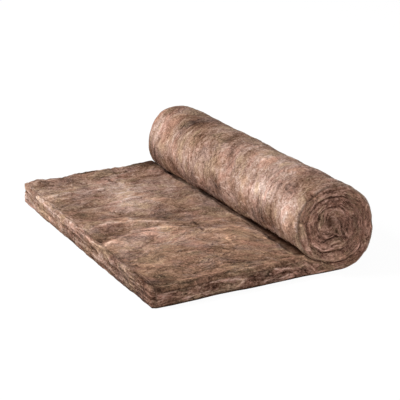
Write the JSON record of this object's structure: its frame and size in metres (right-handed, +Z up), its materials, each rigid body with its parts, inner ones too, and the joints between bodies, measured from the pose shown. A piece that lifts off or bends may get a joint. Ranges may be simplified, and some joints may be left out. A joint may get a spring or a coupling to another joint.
{
  "type": "insulation roll",
  "caption": "Brown mineral wool insulation blanket, partly unrolled: a soft flat sheet that runs in under a tight spiral roll and winds up into it.",
  "frame": {"origin": "on the floor, under the middle of the part's outline", "axes": "+X along the laid length from the cut end towards the roll, +Y along the roll's axis, +Z up"},
  "size_m": [0.875, 1.2, 0.322],
  "materials": {
    "mineral_wool": "matt fibrous brown mineral wool"
  },
  "bodies": {
    "root": {"wool_blanket": "mineral_wool"}
  },
  "joints": []
}
